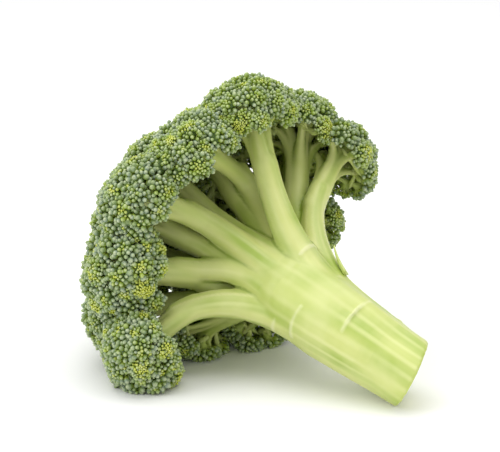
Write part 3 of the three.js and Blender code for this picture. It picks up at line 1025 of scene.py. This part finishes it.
def makeHead(number, floret, random):
    rows = headPoints(floret, random)
    mesh = bpy.data.meshes.new("head points")
    mesh.vertices.add(len(rows))
    mesh.vertices.foreach_set("co", toRoom(rows[:, 0:3]).astype(np.float32).ravel())
    addAttribute(mesh, "facing", "FLOAT_VECTOR", rows[:, 3:6] @ plantToRoom.T)
    addAttribute(mesh, "size", "FLOAT_VECTOR", rows[:, 6:9] * 0.001)
    addAttribute(mesh, "shape", "INT", rows[:, 9])
    addAttribute(mesh, "age", "FLOAT", rows[:, 10])
    addAttribute(mesh, "tint", "FLOAT", rows[:, 11])
    addAttribute(mesh, "cell", "FLOAT", np.arange(len(rows)))
    draft = newObject("head draft", mesh)
    modifier = draft.modifiers.new("flower heads", "NODES")
    modifier.node_group = heads
    setInputs(modifier, {
        "Shapes": shapeShelf, "Size": 1.0, "Bud Length": 1.32, "Roll Seed": 3 + number,
        "Cells Across": float(math.ceil(math.sqrt(len(rows)))),
        "Bud Finish": budSurface, "Stem Finish": stemSurface,
    })
    view = bpy.context.evaluated_depsgraph_get()
    made = bpy.data.meshes.new_from_object(draft.evaluated_get(view), depsgraph=view)
    made.name = f"buds_{number:02d}"
    for name in ("facing", "size", "shape", "cell", "patch"):
        if name in made.attributes:
            made.attributes.remove(made.attributes[name])
    bpy.data.objects.remove(draft)
    # nothing pokes through the surface the head lies on
    places = np.empty(len(made.vertices) * 3, np.float32)
    made.vertices.foreach_get("co", places)
    places = places.reshape(-1, 3)
    places[:, 2] = np.maximum(places[:, 2], 0.0001)
    made.vertices.foreach_set("co", places.ravel())
    return newObject(f"buds_{number:02d}", made), len(rows)


headPieces = []
for number, floret in enumerate(floretTable, 1):
    piece, count = makeHead(number, floret, np.random.default_rng(100 + number))
    headPieces.append(piece)
for shape in list(shapeShelf.objects):
    bpy.data.objects.remove(shape)
bpy.data.collections.remove(shapeShelf)
triangles = sum(len(piece.data.polygons) for piece in headPieces)
say(f"{len(headPieces)} flower heads: {triangles} triangles")


# The scrap of leaf on the stalk: a curled blade that thins out to a ragged tip
scrapStyle = {
    "turn": 34.0,
    "path": [(20.4, 49.0), (22.6, 54.0), (25.0, 58.2), (28.4, 61.4)],    # reach and height
    "width": (2.5, 0.5),       # half, at the foot and at the tip, mm
    "thickness": (0.95, 0.3),
    "rows": 14, "sides": 16,
}


def leafScrap():
    style = scrapStyle
    reach = [onPlant(style["turn"], out, height) for out, height in style["path"]]
    spine = bezier(*reach, style["rows"])
    tangents = unit(np.gradient(spine, axis=0))
    sideways = unit(np.cross(upward, onPlant(style["turn"], 1, 0)))
    points = []
    for row in range(style["rows"]):
        share = row / (style["rows"] - 1)
        width = style["width"][0] + (style["width"][1] - style["width"][0]) * share ** 1.4
        thickness = style["thickness"][0] + (style["thickness"][1] - style["thickness"][0]) * share
        outer = np.cross(tangents[row], sideways)
        for side in range(style["sides"]):
            angle = 2 * math.pi * side / style["sides"]
            ragged = 1 + 0.12 * math.sin(3.1 * row + 2 * angle) * share
            cupped = 0.35 * width * math.cos(angle) ** 2
            points.append(spine[row] + sideways * width * math.cos(angle) * ragged
                          + outer * (thickness * math.sin(angle) - cupped))
    points += [spine[0] - tangents[0] * 0.4, spine[-1] + tangents[-1] * 0.5]
    mesh = meshFrom("leaf_scrap", toRoom(points), ringFaces(style["rows"], style["sides"]))
    mesh.shade_smooth()
    rows = np.repeat(np.linspace(0, 1, style["rows"]), style["sides"])
    addAttribute(mesh, "rise", "FLOAT", np.append(rows, (0, 1)) * 0.5)
    addAttribute(mesh, "tint", "FLOAT", np.full(len(points), 0.7))
    mesh.materials.append(stemSurface)
    return newObject("leaf_scrap", mesh)


scrap = leafScrap()


# What rides on what
for number, piece in enumerate(headPieces, 1):
    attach(piece, "root")
    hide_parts(f"floret_{number:02d}")
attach(skin, "root")
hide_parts("main_stalk", *[f"branch_{number:02d}" for number in range(1, 20)])
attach(scrap, "root")
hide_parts("leaf_stub")


# Floor, light and camera
room = {
    "floor": "#f6f6f6",
    "target": (-0.00073, -0.01344, 0.06954),
    "azimuth": 35.0, "elevation": 15.0,
    "distance": 0.8,
    "lens": 128.0,
}
floorMesh = meshFrom("floor", np.array([(-6, -6, 0), (6, -6, 0), (6, 6, 0), (-6, 6, 0)]),
                     np.array([(0, 1, 2, 3)]))
floor = newObject("floor", floorMesh)
floorMaterial, nodes, shader = newMaterial("floor")
shader.inputs["Base Color"].default_value = colour(room["floor"])
shader.inputs["Roughness"].default_value = 0.9
shader.inputs["Specular IOR Level"].default_value = 0.1
floor.data.materials.append(floorMaterial)


def softLight(name, place, aim, size, power):
    light = bpy.data.lights.new(name, "AREA")
    light.shape = "RECTANGLE"
    light.size, light.size_y = size
    light.energy = power
    item = bpy.data.objects.new(name, light)
    item.location = place
    item.rotation_euler = (Vector(aim) - Vector(place)).to_track_quat("-Z", "Y").to_euler()
    bpy.context.scene.collection.objects.link(item)
    return item


softLight("overhead", (-0.1, 0.1, 1.5), (0, 0, 0.05), (1.6, 1.6), 16)
softLight("frontLeft", (-0.9, -1.4, 1.0), (0, 0, 0.06), (1.2, 1.0), 12)
world = bpy.data.worlds.new("room")
world.use_nodes = True
world.node_tree.nodes["Background"].inputs[0].default_value = (1, 1, 1, 1)
world.node_tree.nodes["Background"].inputs[1].default_value = 0.75
bpy.context.scene.world = world
bpy.context.scene.view_settings.view_transform = "Standard"
bpy.context.scene.view_settings.look = "None"

azimuth, elevation = math.radians(room["azimuth"]), math.radians(room["elevation"])
towards = Vector((math.sin(azimuth) * math.cos(elevation), -math.cos(azimuth) * math.cos(elevation),
                  math.sin(elevation)))
cameraData = bpy.data.cameras.new("camera")
cameraData.lens = room["lens"]
cameraData.sensor_width = 36
cameraData.clip_start = 0.01
camera = bpy.data.objects.new("camera", cameraData)
target = Vector(room["target"])
camera.location = target + towards * room["distance"]
camera.rotation_euler = towards.to_track_quat("Z", "Y").to_euler()
bpy.context.scene.collection.objects.link(camera)
bpy.context.scene.camera = camera

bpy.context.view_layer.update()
say("finished")
